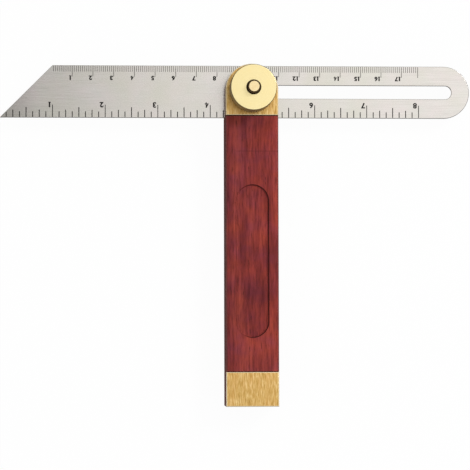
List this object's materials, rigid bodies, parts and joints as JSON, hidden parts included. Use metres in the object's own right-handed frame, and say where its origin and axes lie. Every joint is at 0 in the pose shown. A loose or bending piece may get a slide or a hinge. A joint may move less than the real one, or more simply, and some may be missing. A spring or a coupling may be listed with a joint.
{
  "type": "sliding bevel",
  "caption": "Hardwood stock with brass end plates, sawn to hold a slotted steel rule that swings and slides on a clamping stud under a thumb nut.",
  "frame": {"origin": "where the clamp stud's axis meets the flat back of the stock, on the stud's flush head", "axes": "+X along the blade towards its round end, +Y towards the head of the stock, +Z out of the front face towards the thumb nut"},
  "size_m": [0.2279, 0.1647, 0.0368],
  "materials": {
    "stock_wood": "oiled red hardwood, satin, with dark pores along the grain",
    "plate_brass": "brushed along the stock",
    "nut_brass": "faced on a lathe and polished, knurled rim",
    "stud_brass": "turned, M6 thread",
    "pin_brass": "drawn wire",
    "blade_steel": "stainless, brushed along the blade, etched black graduations"
  },
  "bodies": {
    "stock": {"stock": "stock_wood", "front_bolster": "plate_brass", "back_bolster": "plate_brass", "front_heel_plate": "plate_brass", "back_heel_plate": "plate_brass", "front_bolster_pin_left": "pin_brass", "front_bolster_pin_right": "pin_brass", "back_bolster_pin_left": "pin_brass", "back_bolster_pin_right": "pin_brass", "front_heel_pin_left": "pin_brass", "front_heel_pin_right": "pin_brass", "back_heel_pin_left": "pin_brass", "back_heel_pin_right": "pin_brass"},
    "clamp_stud": {"clamp_stud": "stud_brass"},
    "blade": {"blade": "blade_steel"},
    "nut_washer": {"nut_washer": "nut_brass"},
    "thumb_nut": {"thumb_nut": "nut_brass"}
  },
  "joints": [
    {"name": "blade_swing", "type": "hinge", "parent": "stock", "child": "clamp_stud", "pos_m": [0, 0, 0], "axis": [0, 0, 1], "range_deg": [-255, 75]},
    {"name": "blade_slide", "type": "slide", "parent": "clamp_stud", "child": "blade", "axis": [1, 0, 0], "range_m": [-0.0931, 0.0021]},
    {"name": "nut_lift", "type": "slide", "parent": "clamp_stud", "child": "nut_washer", "axis": [0, 0, 1], "range_m": [0, 0.001]},
    {"name": "nut_turn", "type": "hinge", "parent": "nut_washer", "child": "thumb_nut", "pos_m": [0, 0, 0.0216], "axis": [0, 0, 1], "range_deg": [0, 360]}
  ],
  "couplings": [
    {"joint": "nut_turn", "follows": "nut_lift", "rad_per_m": 6283.2}
  ]
}
